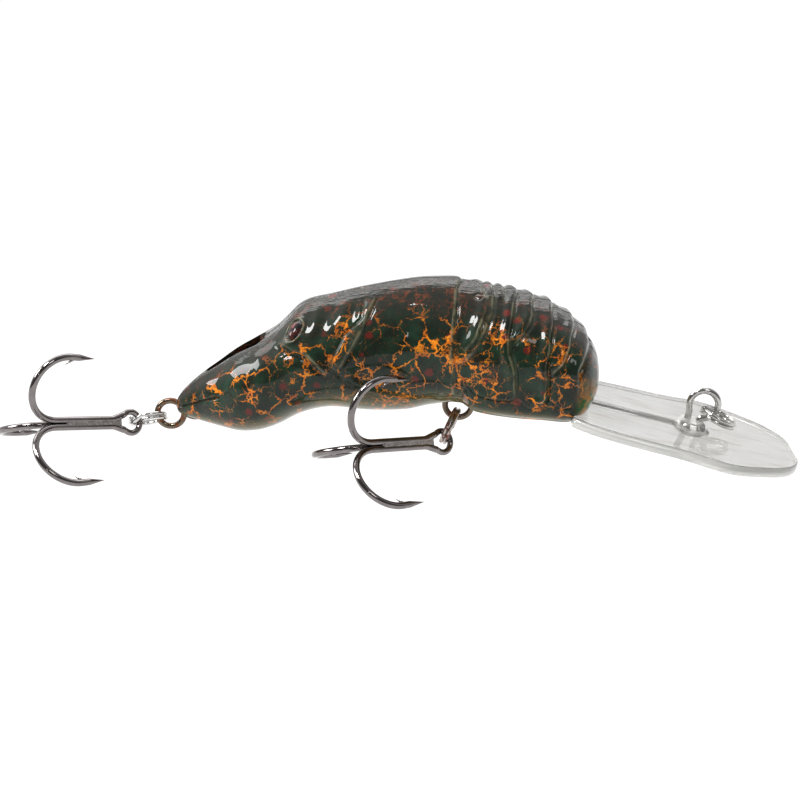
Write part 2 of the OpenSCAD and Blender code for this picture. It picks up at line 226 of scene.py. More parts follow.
def metal(name, color, roughness, stain=None, stain_from=0.6):
    """Plated wire: smudged gloss, and a stain in patches."""
    look = Look(name, Metallic=1.0)
    cloud = look.noise(0.9, 4)[0]
    fine = look.noise(9, 3)[0]
    shade = look.mix(look.step(cloud, 0.35, 0.7), tuple(c * 0.82 for c in color), color)
    if stain:
        patch = look.step(look.noise(0.75, 5, 0.65)[0], stain_from, stain_from + 0.08)
        shade = look.mix(patch, shade, stain)
        look.set("Metallic", look.math("SUBTRACT", 1.0, look.math("MULTIPLY", patch, 0.85)))
    look.set("Base Color", shade)
    look.set("Roughness", look.step(fine, 0.3, 0.75, roughness * 0.75, roughness * 1.4))
    look.bump(fine, 0.003, 0.5)
    return look.material


def body_paint():
    """Clear-coated paint: a near-black green under a branching orange crackle."""
    look = Look("crackle_paint", Roughness=0.55, IOR=1.2, Coat_Weight=1.0, Coat_Roughness=0.03, Coat_IOR=1.33)

    def attribute(name):
        return look.add("ShaderNodeAttribute", attribute_name=name).outputs["Fac"]

    names = ("side", "crease", "rim", "fold", "eye", "along", "painted_recess_shade")
    side, crease, rim, fold, eye, along, painted_recess_shade = (attribute(n) for n in names)

    def warped(scale, amount, seed):
        drift = look.noise(scale, 4, 0.6)[1]
        centred = look.vector("SUBTRACT", drift, (0.5, 0.5, 0.5))
        moved = look.vector("MULTIPLY", centred, (amount * MM,) * 3)
        return look.vector("ADD", look.vector("ADD", look.place, (seed * MM, 0, 0)), moved)

    def cracks(scale, thin, thick, place, spread):
        """Voronoi edges whose width swells and shrinks along their length. Widths are in millimetres."""
        edge = look.add("ShaderNodeTexVoronoi", {"Vector": place, "Scale": scale / MM},
                        feature="DISTANCE_TO_EDGE").outputs["Distance"]
        swell = look.noise(spread, 3, 0.6)[0]
        width = look.step(swell, 0.38, 0.68, thin * scale, thick * scale)
        ragged = look.math("ADD", edge, look.math("MULTIPLY", look.math("SUBTRACT", look.noise(4.5, 2)[0], 0.5),
                                                  0.13 * scale))
        return look.step(look.math("SUBTRACT", ragged, width), 0.05 * scale, -0.09 * scale)

    wide = cracks(0.33, -0.02, 0.16, warped(0.8, 2.2, 0), 0.30)
    fine = cracks(0.60, -0.14, 0.09, warped(1.3, 1.5, 31), 0.20)
    hair = cracks(1.2, -0.16, 0.02, warped(1.9, 0.9, 57), 0.25)
    specks = look.step(look.noise(3.4, 2, 0.7)[0], 0.72, 0.77)
    web = look.math("MAXIMUM", look.math("MAXIMUM", wide, fine), look.math("MAXIMUM", hair, specks))

    patches = look.noise(0.13, 3)[0]
    height = look.math("ADD", side, look.math("MULTIPLY", look.math("SUBTRACT", patches, 0.5), 0.9))
    lit = look.step(height, 0.62, 0.22)
    ember = look.noise(1.1, 3)[0]
    orange = look.mix(look.step(ember, 0.3, 0.7), (0.52, 0.11, 0.004), (0.86, 0.27, 0.012))
    rust = look.mix(look.step(ember, 0.35, 0.7), (0.03, 0.010, 0.004), (0.16, 0.032, 0.006))
    crack = look.mix(lit, rust, orange)

    green = look.mix(look.step(look.noise(0.45, 4)[0], 0.35, 0.7), (0.0035, 0.009, 0.004), (0.007, 0.030, 0.014))
    umber = look.mix(look.step(look.noise(0.6, 4)[0], 0.4, 0.7), (0.005, 0.008, 0.004), (0.016, 0.011, 0.005))
    ground = look.mix(look.step(height, 0.75, 0.3), umber, green)
    spatter = look.noise(2.1, 3, 0.7)[0]
    ground = look.mix(look.step(spatter, 0.54, 0.68, 0.0, 0.7), ground, (0.030, 0.012, 0.005))
    spots = look.add("ShaderNodeTexVoronoi", {"Vector": warped(1.2, 0.7, 77),
                                              "Scale": 0.30 / MM}).outputs["Distance"]
    blotch = look.math("MULTIPLY", look.step(spots, 0.22, 0.13), look.step(look.noise(0.16, 1)[0], 0.42, 0.5))
    ground = look.mix(look.math("MULTIPLY", blotch, 0.9), ground, (0.11, 0.010, 0.006))
    belly = look.math("MULTIPLY", look.step(side, -0.22, -0.62), look.step(patches, 0.3, 0.6, 0.5, 1.0))
    ground = look.mix(belly, ground, (0.095, 0.085, 0.018))
    ground = look.mix(look.math("MULTIPLY", fold, 0.6), ground, (0.030, 0.038, 0.025))

    strength = look.step(look.noise(0.2, 2)[0], 0.3, 0.55, 0.55, 1.0)
    strength = look.math("MULTIPLY", strength, look.step(side, 0.7, 0.88, 1.0, 0.35))
    paint = look.mix(look.math("MULTIPLY", web, strength), ground, crack)
    patchy_lines = look.noise(0.55, 3)[0]
    in_crease = look.math("MULTIPLY", crease, look.step(patchy_lines, 0.35, 0.65, 0.15, 0.6))
    paint = look.mix(in_crease, paint, (0.052, 0.060, 0.028))
    # Pale tan along the lines of the rim mask: painted highlight, broken up in patches
    painted_highlight_on_ridges = look.math("MULTIPLY", rim, look.step(patchy_lines, 0.38, 0.62, 0.12, 0.75))
    paint = look.mix(painted_highlight_on_ridges, paint, (0.27, 0.26, 0.15))
    nose = look.math("MULTIPLY", look.step(along, 56.6, 58.6), look.step(side, 0.12, -0.25))
    nose_paint = look.mix(look.step(look.noise(0.7, 2)[0], 0.45, 0.6), (0.02, 0.16, 0.012), (0.62, 0.26, 0.03))
    paint = look.mix(look.math("MULTIPLY", nose, 0.7), paint, nose_paint)
    paint = look.mix(eye, paint, look.mix(look.step(look.noise(0.8, 2)[0], 0.4, 0.7),
                                          (0.003, 0.003, 0.003), (0.13, 0.012, 0.006)))
    # Near black in the slot between the claws and in the belly notch: painted shade
    paint = look.mix(painted_recess_shade, paint, (0.004, 0.004, 0.004))
    look.set("Base Color", paint)

    wrinkles = look.noise(0.9, 3, 0.6, stretch=(0.22, 1.0, 1.6))[0]
    top = look.step(side, 0.60, 0.85)
    grain = look.math("MULTIPLY", wrinkles, top)
    orange_peel = look.noise(0.8, 2)[0]
    paint_height = look.math("ADD", look.math("MULTIPLY", grain, 1.6), look.math("MULTIPLY", orange_peel, 0.12))
    look.bump(paint_height, 0.3, 0.9)
    coat_bump = look.add("ShaderNodeBump", {
        "Height": look.math("ADD", grain, look.math("MULTIPLY", orange_peel, 0.07)), "Distance": 0.32 * MM,
        "Strength": 0.9})
    look.set("Coat Normal", coat_bump.outputs[0])
    return look.material


def clear_plastic():
    """Polished polycarbonate with faint flow marks and a trace of warm grey."""
    look = Look("clear_lip", IOR=1.5, Transmission_Weight=1.0)
    haze = look.noise(0.10, 3)[0]
    edge = look.add("ShaderNodeAttribute", attribute_name="edge").outputs["Fac"]
    clear = look.mix(look.step(haze, 0.3, 0.7), (0.65, 0.645, 0.63), (0.72, 0.715, 0.70))
    streak = look.step(look.noise(0.35, 4, 0.65, stretch=(0.2, 1.7, 1.0))[0], 0.5, 0.7, 0.0, 0.8)
    clear = look.mix(streak, clear, (0.42, 0.38, 0.33))
    # Paler and less clear on the edges, rib and boss: painted light
    look.set("Base Color", look.mix(edge, clear, (0.86, 0.855, 0.82)))
    look.set("Transmission Weight", look.step(edge, 0.0, 1.0, 0.93, 0.42))
    look.set("Roughness", look.step(look.noise(0.5, 3)[0], 0.35, 0.8, 0.015, 0.06))
    flow = look.noise(0.12, 3, 0.5, stretch=(0.6, 1.7, 1.0))[0]
    look.bump(flow, 0.05, 0.5)
    return look.material


def braze_metal():
    look = Look("braze_fill", Metallic=0.55)
    lumps = look.noise(1.6, 4)[0]
    look.set("Base Color", look.mix(look.step(lumps, 0.35, 0.7), (0.30, 0.275, 0.265), (0.46, 0.425, 0.41)))
    look.set("Roughness", look.step(lumps, 0.3, 0.8, 0.2, 0.32))
    look.bump(lumps, 0.02, 0.4)
    return look.material


def dull_lead():
    look = Look("ballast_lead", Metallic=1.0)
    cloud = look.noise(0.8, 5)[0]
    look.set("Base Color", look.mix(look.step(cloud, 0.35, 0.7), (0.12, 0.12, 0.13), (0.27, 0.27, 0.29)))
    look.set("Roughness", look.step(cloud, 0.3, 0.8, 0.4, 0.7))
    look.bump(cloud, 0.1, 0.6)
    return look.material


def milky_plastic():
    look = Look("rattle_plastic", IOR=1.46, Transmission_Weight=0.6)
    cloud = look.noise(0.3, 3)[0]
    look.set("Base Color", look.mix(cloud, (0.78, 0.78, 0.70), (0.88, 0.88, 0.82)))
    look.set("Roughness", look.step(cloud, 0.3, 0.7, 0.25, 0.4))
    return look.material


PAINT = body_paint()
CLEAR = clear_plastic()
TIE_STEEL = metal("tie_steel", (0.60, 0.59, 0.57), 0.16)
RING_STEEL = metal("ring_steel", (0.68, 0.67, 0.65), 0.14)
STAINED_RING = metal("stained_ring_steel", (0.50, 0.44, 0.41), 0.18, (0.16, 0.035, 0.012), 0.50)
HANGER_WIRE = metal("painted_hanger_wire", (0.17, 0.135, 0.10), 0.2, (0.16, 0.045, 0.010), 0.52)
BLACK_NICKEL = metal("black_nickel", (0.24, 0.218, 0.214), 0.09)
BRAZE = braze_metal()

# ---- body ----
# Sections: [x, top z, bottom z, half width, z of the widest line, squareness above, below], as in the CAD
SECTIONS = np.array([
    [0.0, -0.1, -0.3, 0.1, -0.2, 2.0, 2.0],
    [0.4, 1.1, -1.2, 1.0, -0.1, 2.0, 2.0],
    [1.5, 2.5, -1.7, 1.9, 0.3, 2.0, 2.0],
    [3.5, 4.3, -2.3, 3.2, 0.9, 2.2, 2.0],
    [6.5, 6.4, -3.0, 5.2, 1.8, 2.4, 2.1],
    [9.5, 8.4, -3.5, 6.9, 2.5, 2.6, 2.2],
    [12.5, 10.0, -3.2, 8.1, 3.4, 2.7, 2.2],
    [15.0, 11.7, -2.4, 8.5, 4.6, 2.4, 2.1],
    [18.6, 15.2, -0.7, 8.3, 6.6, 2.1, 2.0],
    [22.5, 16.4, 0.1, 8.1, 7.8, 2.0, 2.0],
    [28.0, 17.7, -0.4, 8.1, 8.4, 2.0, 2.0],
    [33.5, 18.7, -0.3, 8.1, 8.6, 2.0, 2.0],
    [37.0, 19.0, 0.6, 8.6, 8.6, 2.0, 2.1],
    [41.3, 18.6, 1.3, 9.2, 8.4, 2.0, 2.6],
    [43.0, 18.3, 1.0, 9.7, 8.2, 2.0, 4.5],
    [48.0, 17.3, 0.3, 9.9, 7.8, 2.0, 5.0],
    [53.0, 15.7, -0.1, 9.9, 7.2, 2.1, 5.0],
    [56.5, 13.6, -0.3, 9.7, 6.6, 2.2, 5.0],
    [58.6, 11.6, 0.3, 8.6, 6.2, 2.2, 4.0],
    [60.0, 9.6, 1.4, 6.6, 5.8, 2.2, 2.6],
    [60.8, 7.8, 2.9, 4.2, 5.6, 2.0, 2.0],
    [61.1, 5.6, 5.2, 0.4, 5.4, 2.0, 2.0],
])
BODY_LEN = SECTIONS[-1, 0]
WALL = 1.3
LIP_AT = np.array([57, 0, 1.32])
LIP_TILT = 14
CHIN_SLOPE = math.tan(math.radians(LIP_TILT))

# The relief's lines, each as (x, level) points. Level is -1 at the keel, 0 on the widest line and 1 on the back.
SHELL_EDGE = [(40.3, -0.39), (40.1, -0.19), (40.2, -0.07), (39.9, 0.13), (40.1, 0.32), (40.4, 0.51), (40.6, 0.8),
              (41.4, 1.0)]
# Creases of the abdomen: (line, depth, height of the plate's edge behind it)
PLATES = [
    ([(42.0, 0.14), (43.4, 0.28), (44.1, 0.41), (44.75, 0.55), (44.96, 0.69), (43.8, 1.0)], 0.22, 0.26),
    ([(41.15, 0.0), (43.1, 0.15), (43.8, 0.24), (44.7, 0.36), (45.6, 0.55), (45.9, 0.75),
      (45.8, 1.0)], 0.22, 0.26),
    ([(47.4, 0.72), (47.4, 1.0)], 0.20, 0.26),
    ([(48.9, -0.07), (48.8, 0.0), (48.35, 0.11), (47.9, 0.2), (47.9, 0.34), (48.35, 0.48), (48.55, 0.6),
      (48.85, 0.77), (49.6, 1.0)], 0.34, 0.36),
    ([(48.9, 0.28), (49.85, 0.38), (50.8, 0.49), (51.3, 0.61), (51.4, 0.83), (51.9, 1.0)], 0.26, 0.30),
    ([(52.5, -0.15), (53.2, -0.07), (53.3, -0.01), (53.1, 0.09), (53.6, 0.27), (53.8, 0.45), (54.2, 0.6),
      (54.2, 0.8), (54.5, 1.0)], 0.36, 0.38),
    ([(54.1, 0.04), (55.4, 0.15), (56.4, 0.37), (56.7, 0.54), (57.45, 0.85), (57.45, 1.0)], 0.28, 0.30),
    ([(57.65, 0.0), (57.7, 0.11), (58.4, 0.28), (58.9, 0.44), (59.5, 0.71), (59.6, 1.0)], 0.30, 0.26),
]
# Lower edges of the abdomen's plates
HEMS = [
    [(41.0, -0.06), (42.1, -0.09), (43.7, -0.12), (45.7, -0.14), (47.8, -0.13), (48.8, -0.08)],
    [(48.8, -0.08), (50.7, -0.22), (52.2, -0.19), (53.2, -0.07)],
    [(53.3, -0.05), (55.0, -0.16), (56.6, -0.14), (57.6, -0.02)],
]
FLAT_EDGE = [(42.6, -0.54), (47.4, -0.66), (54.1, -0.64), (57.0, -0.63)]
CHEEK = [(22.0, -0.06), (19.5, 0.18), (17.4, 0.31), (15.35, 0.55)]
GILL_FRONT = [(26.1, -0.27), (23.6, -0.04), (22.9, 0.03), (23.8, 0.17), (24.85, 0.3), (27.4, 0.47), (27.6, 0.71)]
GILL_BACK = [(24.2, -0.02), (25.0, 0.07), (25.9, 0.16), (27.6, 0.36), (28.4, 0.52), (28.8, 0.6), (29.4, 0.72)]
PINCER = [(0.3, -0.03), (3.7, 0.06), (7.2, 0.07)]
EYE = (17.9, 0.54)
EYE_HALF = (0.95, 1.4)
DIMPLE = (43.5, 0.71)
# Half the gap between the claws, over x
SLOT_X = [4.6, 4.62, 4.95, 12.2, 13.2, 13.22]
SLOT_HALF = [0.0, 0.4, 1.0, 2.5, 1.7, 0.0]
NOTCH = (37.8, 44.2)
NOTCH_HALF = 1.05
NOTCH_TOP = 2.4
# The cavity's length, and its lowest level over the lip's tongue (from x on) and over the notch (between two x)
HOLLOW = (17.0, 59.0)
OVER_TONGUE = (49, 3.0)
OVER_NOTCH = (37.5, 44.5, 3.4)


def curve(column, x):
    """Smooth curve through one column of the sections: cubic pieces with slopes from the neighbours."""
    t, c = SECTIONS[:, 0], SECTIONS[:, column]
    before = np.maximum(np.arange(len(t)) - 1, 0)
    after = np.minimum(np.arange(len(t)) + 1, len(t) - 1)
    slopes = (c[after] - c[before]) / (t[after] - t[before])
    i = np.clip(np.searchsorted(t, x) - 1, 0, len(t) - 2)
    h = t[i + 1] - t[i]
    s = (x - t[i]) / h
    return (c[i] * (1 + 2 * s) * (1 - s) ** 2 + c[i + 1] * s * s * (3 - 2 * s)
            + h * slopes[i] * s * (1 - s) ** 2 - h * slopes[i + 1] * s * s * (1 - s))


def body_point(x, level, inset=0.0):
    """Point of the right half's plain surface."""
    angle = level * math.pi / 2
    wide = curve(4, x)
    square = np.where(angle >= 0, curve(5, x), curve(6, x))
    tall = np.where(angle >= 0, curve(1, x) - wide, wide - curve(2, x))
    y = -np.maximum(curve(3, x) - inset, 0.02) * np.maximum(np.cos(angle), 0) ** (2 / square)
    z = wide + (tall - inset) * np.sign(angle) * np.abs(np.sin(angle)) ** (2 / square)
    return np.stack([x + 0 * y, y, z], axis=-1)


def from_upright(points, x, level, per_level):
    """Signed distance in mm from a line that runs up the side, read as x over level, and its fade at the ends."""
    xs, levels = np.array(sorted(points, key=lambda p: p[1])).T
    near = np.interp(level, levels, xs)
    lean = (np.interp(level + 0.02, levels, xs) - np.interp(level - 0.02, levels, xs)) / 0.04 / per_level
    top = 1 if levels[-1] >= 1 else 1 - smooth(level, levels[-1] - 0.16, levels[-1] + 0.06)
    return (x - near) / np.sqrt(1 + lean ** 2), smooth(level, levels[0] - 0.03, levels[0] + 0.07) * top


def from_lengthwise(points, x, level, per_level):
    """The same for a line that runs along the side, read as level over x."""
    xs, levels = np.array(points).T
    near = np.interp(x, xs, levels)
    lean = (np.interp(x + 0.1, xs, levels) - np.interp(x - 0.1, xs, levels)) / 0.2 * per_level
    fade = smooth(x, xs[0] - 0.1, xs[0] + 0.6) * (1 - smooth(x, xs[-1] - 0.6, xs[-1] + 0.1))
    return (level - near) * per_level / np.sqrt(1 + lean ** 2), fade


def relief(x, level, per_level):
    """Height of the moulded detail over the plain surface, and the masks that the paint follows."""
    height = np.zeros_like(x)
    crease = np.zeros_like(x)
    # rim marks the plate edges, the flat edge, the cheek, the gill line and the eye's ring, which the paint
    # lightens as painted highlight lines
    rim = np.zeros_like(x)

    def cut(distance, depth, width, fade):
        nonlocal height, crease
        height = height - depth * bell(distance, width) * fade
        crease = np.maximum(crease, bell(distance, width * 0.7) * fade)

    for points, depth, edge in PLATES:
        distance, fade = from_upright(points, x, level, per_level)
        cut(distance, depth, 0.24, fade)
        height = height + edge * bell(distance + 0.85, 0.62) * fade
        rim = np.maximum(rim, bell(distance + 0.34, 0.14) * fade)
    distance, fade = from_upright(SHELL_EDGE, x, level, per_level)
    height = height + 0.32 * smooth(-distance, -0.1, 0.3) * bell(np.minimum(distance, 0), 2.4) * fade
    cut(distance - 0.15, 0.2, 0.22, fade)
    rim = np.maximum(rim, bell(distance + 0.22, 0.14) * fade)
    for points in HEMS:
        distance, fade = from_lengthwise(points, x, level, per_level)
        height = height + 0.22 * smooth(distance, -0.15, 0.2) * np.exp(-np.maximum(distance, 0) / 1.3) * fade
        cut(distance + 0.1, 0.14, 0.2, fade)
    distance, fade = from_lengthwise(FLAT_EDGE, x, level, per_level)
    height = height + 0.14 * bell(distance, 0.3) * fade
    rim = np.maximum(rim, 0.8 * bell(distance, 0.14) * fade)

    distance, fade = from_upright(CHEEK, x, level, per_level)
    height = height + 0.62 * smooth(distance, -0.12, 0.22) * np.exp(-np.maximum(distance, 0) / 2.2) * fade
    height = height - 0.30 * bell(distance + 0.35, 0.4) * fade
    rim = np.maximum(rim, bell(distance - 0.22, 0.14) * fade)

    front, front_fade = from_upright(GILL_FRONT, x, level, per_level)
    back, back_fade = from_upright(GILL_BACK, x, level, per_level)
    fold = smooth(front, -0.1, 0.25) * smooth(-back, -0.1, 0.25) * front_fade * back_fade
    height = height + 0.36 * fold
    cut(front + 0.12, 0.18, 0.2, front_fade)
    cut(back - 0.15, 0.16, 0.2, back_fade)
    rim = np.maximum(rim, 0.8 * bell(back + 0.2, 0.14) * back_fade)

    flank = smooth(x, 19.6, 21.0) * (1 - smooth(x, 26.0, 27.6)) * bell(level - 0.55, 0.2)
    height = height + 0.13 * np.sin(2 * math.pi * (x - 4 * level - 17.2) / 3.9) * flank

    distance, fade = from_lengthwise(PINCER, x, level, per_level)
    cut(distance, 0.34, 0.2, fade)
    height = height + (0.10 * np.sin(x * 1.5 + 2 * level) * smooth(x, 2, 5) * (1 - smooth(x, 12, 15))
                       * bell(level - .3, .4))

    out = np.hypot((x - EYE[0]) / EYE_HALF[0], (level - EYE[1]) * per_level / EYE_HALF[1])
    height = height + 0.62 * np.sqrt(np.maximum(0, 1 - out ** 2))
    height = height + 0.26 * bell(out - 1.32, 0.2) - 0.2 * bell(out - 1.05, .1)
    rim = np.maximum(rim * smooth(out, 1.4, 1.8), 0.5 * bell(out - 1.3, 0.16))
    eye = 1 - smooth(out, 0.92, 1.05)
    ring = np.hypot(x - DIMPLE[0], (level - DIMPLE[1]) * per_level)
    cut(ring - 0.55, 0.14, 0.12, 1)

    back_line = smooth(np.abs(level), 0.97, 1.0)
    height = height - 0.05 * back_line
    height = height * smooth(x, 0.0, 1.2) * (1 - smooth(x, 60.2, 60.9))
    return height, {"crease": crease, "rim": rim, "fold": fold, "eye": eye}


def body_half(stations=430, around=190, inside=30):
    """Right half of the body as one closed shell: relief outside, cavity inside, flat on the seam."""
    even = np.linspace(0, 1, stations)
    x = BODY_LEN * (0.55 * (1 - np.cos(math.pi * even)) / 2 + 0.45 * even)
    edges = [e + d for e in (*NOTCH, SLOT_X[0], SLOT_X[-1], LIP_AT[0], *HOLLOW) for d in (-0.02, 0.02)]
    x = np.unique(np.concatenate([x, SLOT_X, edges]).round(3))
    slot = np.interp(x, SLOT_X, SLOT_HALF)
    reach = np.minimum(slot / np.maximum(curve(3, x), 0.02), 0.95)
    high = np.degrees(np.arccos(reach ** (curve(5, x) / 2))) / 90
    low = -np.degrees(np.arccos(reach ** (curve(6, x) / 2))) / 90
    in_notch = (x > NOTCH[0]) & (x < NOTCH[1])
    notch_reach = NOTCH_HALF / np.maximum(curve(3, x), NOTCH_HALF)
    low = np.where(in_notch, -np.degrees(np.arccos(notch_reach ** (curve(6, x) / 2))) / 90, low)

    share = np.linspace(0, 1, around)
    level = low[:, None] + (high - low)[:, None] * share
    grid_x = np.repeat(x[:, None], around, 1)
    base = body_point(grid_x, level)
    by_x = np.gradient(base, axis=0)
    by_level = np.gradient(base, axis=1)
    normal = np.cross(by_x, by_level)
    normal[:, (0, -1), 1] = 0
    normal /= np.maximum(np.linalg.norm(normal, axis=2), 1e-9)[..., None]
    above = np.minimum(level + 0.01, 1)
    below = np.maximum(level - 0.01, -1)
    apart = np.linalg.norm(body_point(grid_x, above) - body_point(grid_x, below), axis=2)
    per_level = apart / (above - below)
    height, masks = relief(grid_x, level, np.clip(per_level, 2, 40))
    outer = base + normal * height[..., None]
    chin = LIP_AT[2] - (grid_x - LIP_AT[0]) * CHIN_SLOPE
    outer[..., 2] = np.where(grid_x > LIP_AT[0], np.maximum(outer[..., 2], chin), outer[..., 2])
    outer[:, :, 1] = np.minimum(outer[:, :, 1], -slot[:, None])
    outer[:, (0, -1), 1] = np.where(in_notch, -NOTCH_HALF, -slot)[:, None] * [1, 0] + (-slot)[:, None] * [0, 1]

    # From the keel's end of the outer line back to the seam: straight, or round the belly notch
    keel = outer[:, 0].copy()
    keel[:, 1] = -slot
    keel[in_notch, 2] = NOTCH_TOP
    corner = outer[:, 0].copy()
    corner[in_notch, 2] = NOTCH_TOP
    corner[~in_notch] = (outer[:, 0] * 0.5 + keel * 0.5)[~in_notch]

    # Cavity wall, from the back to the keel. Outside the cavity's length it lies on the seam.
    down = np.linspace(1, -1, inside)
    hollow = (x > HOLLOW[0]) & (x < HOLLOW[1])
    inner_x = np.repeat(x[:, None], inside, 1)
    cavity = body_point(inner_x, np.repeat(down[None], len(x), 0), WALL)
    for over, lowest in ((inner_x > OVER_TONGUE[0], OVER_TONGUE[1]),
                         ((inner_x > OVER_NOTCH[0]) & (inner_x < OVER_NOTCH[1]), OVER_NOTCH[2])):
        cavity[..., 2] = np.where(over, np.maximum(cavity[..., 2], lowest), cavity[..., 2])
    cavity[:, (0, -1), 1] = 0
    fall = (1 - down) / 2
    flat = np.stack([inner_x, np.repeat(-slot[:, None], inside, 1),
                     outer[:, -1, 2][:, None] * (1 - fall) + keel[:, 2][:, None] * fall], axis=-1)
    flat[..., 2] = flat[..., 2] * 0.998 + 0.002 * (outer[:, -1, 2] + keel[:, 2])[:, None] / 2
    inner = np.where(hollow[:, None, None], cavity, flat)

    ring = np.concatenate([keel[:, None], corner[:, None], outer, inner], axis=1)
    count = ring.shape[1]

    def spread(values):
        full = np.zeros((len(x), count), np.float32)
        full[:, 2:2 + around] = values
        return full.ravel()

    attributes = {key: spread(values) for key, values in masks.items()}
    sides = np.full((len(x), count), 0.75, np.float32)
    sides[:, :2] = -1
    sides[:, 2:2 + around] = level
    attributes["side"] = sides.ravel()
    attributes["along"] = np.repeat(x, count).astype(np.float32)
    # Painted shade: the slot's walls go near black from about 0.4 mm below the rim, fully by 1.1 mm, and the
    # notch's edge rows are darkened too
    painted_recess_shade = np.zeros((len(x), count), np.float32)
    in_slot = (x > SLOT_X[0]) & (x < SLOT_X[-1] + 0.3)
    depth = outer[:, -1, 2][:, None] - inner[..., 2]
    painted_recess_shade[:, 2 + around:] = smooth(depth, 0.4, 1.1) * in_slot[:, None]
    painted_recess_shade[in_notch, :2] = 0.6
    attributes["painted_recess_shade"] = painted_recess_shade.ravel()
    return ring.reshape(-1, 3), skin(len(x), count), attributes


points, faces, attributes = body_half()
add_piece("right_body_half", points, faces, PAINT, "lure_body", "body_plastic", ["body_shell_right"], attributes)
add_piece("left_body_half", points * [1, -1, 1], [f[::-1] for f in faces], PAINT, "lure_body", "body_plastic",
          ["body_shell_left"], attributes)

# ---- lip ----
LIP_LEN = 34.1
LIP_T = 1.3
TONGUE = (7.2, 6.5)                   # length inside the chin, and half width
RIB = (1.4, 1.3)                      # half width and height, as in the CAD
RIB_SHARE = 0.35                      # the share of that height that is shown
BOSS_X = 18.3
BOSS = (2.5, 1.1, 0.8)                # radius, height above and depth below


def lip_half(t):
    end = np.maximum(0, 1 - (np.maximum(t - 19.5, 0) / (LIP_LEN - 19.5)) ** 2.6) ** (1 / 2.6)
    wide = 10.4 + 2.8 * (1 - np.exp(-np.maximum(t, 0) / 4)) + 1.5 * np.exp(-((t - 22) / 4.5) ** 2)
    return np.where(t < 0, TONGUE[1], wide * end)


def lip():
    """Clear plate with rounded edges, a centre rib and a round boss, as one closed shell."""
    t = np.concatenate([np.linspace(-TONGUE[0], -0.02, 12), np.linspace(0, 27, 130),
                        27 + (LIP_LEN - 27) * np.sin(np.linspace(0.02, math.pi / 2, 60))])
    t[-1] = LIP_LEN - 0.0005
    edge = 0.55
    half = np.maximum(lip_half(t), 0.02)
    near_tip = np.clip((LIP_LEN - t) / edge, 0, 1)
    thick = np.sqrt(np.maximum(1 - (1 - near_tip) ** 2, 0.02))
    across = np.concatenate([np.linspace(-1, -0.25, 40), np.linspace(-0.25, 0.25, 80)[1:-1],
                             np.linspace(0.25, 1, 40)])
    across = np.sign(across) * np.abs(across) ** 0.97
    y = half[:, None] * across
    inward = np.clip((half[:, None] - np.abs(y)) / edge, 0, 1)
    rounded = np.sqrt(np.maximum(1 - (1 - inward) ** 2, 0)) * thick[:, None]
    along = np.repeat(t[:, None], y.shape[1], 1)
    out = np.hypot(along - BOSS_X, y)
    boss = 1 - smooth(out, BOSS[0] - 0.9, BOSS[0] + 0.3)
    rib_length = smooth(along, 0.3, 1.8) * (1 - smooth(along, BOSS_X, BOSS_X + 0.5))
    rib = (1 - smooth(np.abs(y), RIB[0] - 1.2, RIB[0] + 0.5)) * rib_length
    raised = np.maximum(rib * RIB[1] * RIB_SHARE, boss * BOSS[1])
    bead = 0.07 * bell(half[:, None] - np.abs(y) - 0.8, 0.45) * (along > 0.5)
    top = -LIP_T / 2 + (LIP_T / 2 + raised + bead) * rounded
    under = -LIP_T / 2 - (LIP_T / 2 + BOSS[2] * boss + bead) * rounded
    over = np.stack([along, y, top], -1)
    below = np.stack([along, y, under], -1)[:, ::-1][:, 1:-1]
    ring = np.concatenate([over, below], axis=1)
    points = turned(ring.reshape(-1, 3), (0, LIP_TILT, 0)) + LIP_AT
    # The edges, the rib and the boss are marked to be painted paler and less clear: painted light in place of the
    # light that the plate carries along
    from_edge = np.minimum(half[:, None] - np.abs(ring[..., 1]), (LIP_LEN - t)[:, None] * 0.8)
    rib_and_boss_light = np.maximum(0.55 * rib, 0.6 * boss)
    rib_and_boss_light = np.concatenate([rib_and_boss_light, rib_and_boss_light[:, ::-1][:, 1:-1]], axis=1)
    painted_light_mask = np.maximum(bell(np.maximum(from_edge, 0), 0.55), rib_and_boss_light).astype(np.float32)
    return points, skin(len(t), ring.shape[1]), {"edge": painted_light_mask.ravel()}


lip_points, lip_faces, lip_masks = lip()
add_piece("clear_diving_lip", lip_points, lip_faces, CLEAR, "lure_body", "clear_plastic", ["diving_lip"],
          lip_masks)

# ---- wire loops and rings ----
TIE_WIRE = 1.0
TIE_R = 2.1


def line_tie():
    """Loop whose two ends turn down side by side into the boss, with a flared foot."""
    loop = arc((0, 0, 0), TIE_R, 180, -105, 90)
    left_leg = np.vstack([line((-TIE_R - 0.4, 0, -4.6), (-TIE_R - 0.4, 0, -2.5)),
                          line((-TIE_R + 0.05, 0, -1.6), (-TIE_R, 0, 0))])
    foot = (-TIE_R + TIE_WIRE + 0.25, 0, -4.6)
    right_leg = line(loop[-1], foot)
    path = eased(np.concatenate([left_leg[:-1], loop, right_leg[1:]]), 8)
    down = path[:, 2]
    radii = TIE_WIRE / 2 * (1 + 0.22 * smooth(-down, 2.6, 3.5) * (path[:, 0] < -1.6))
    points, faces = sweep(path, radii, 22)
    return points + TIE_AT, faces


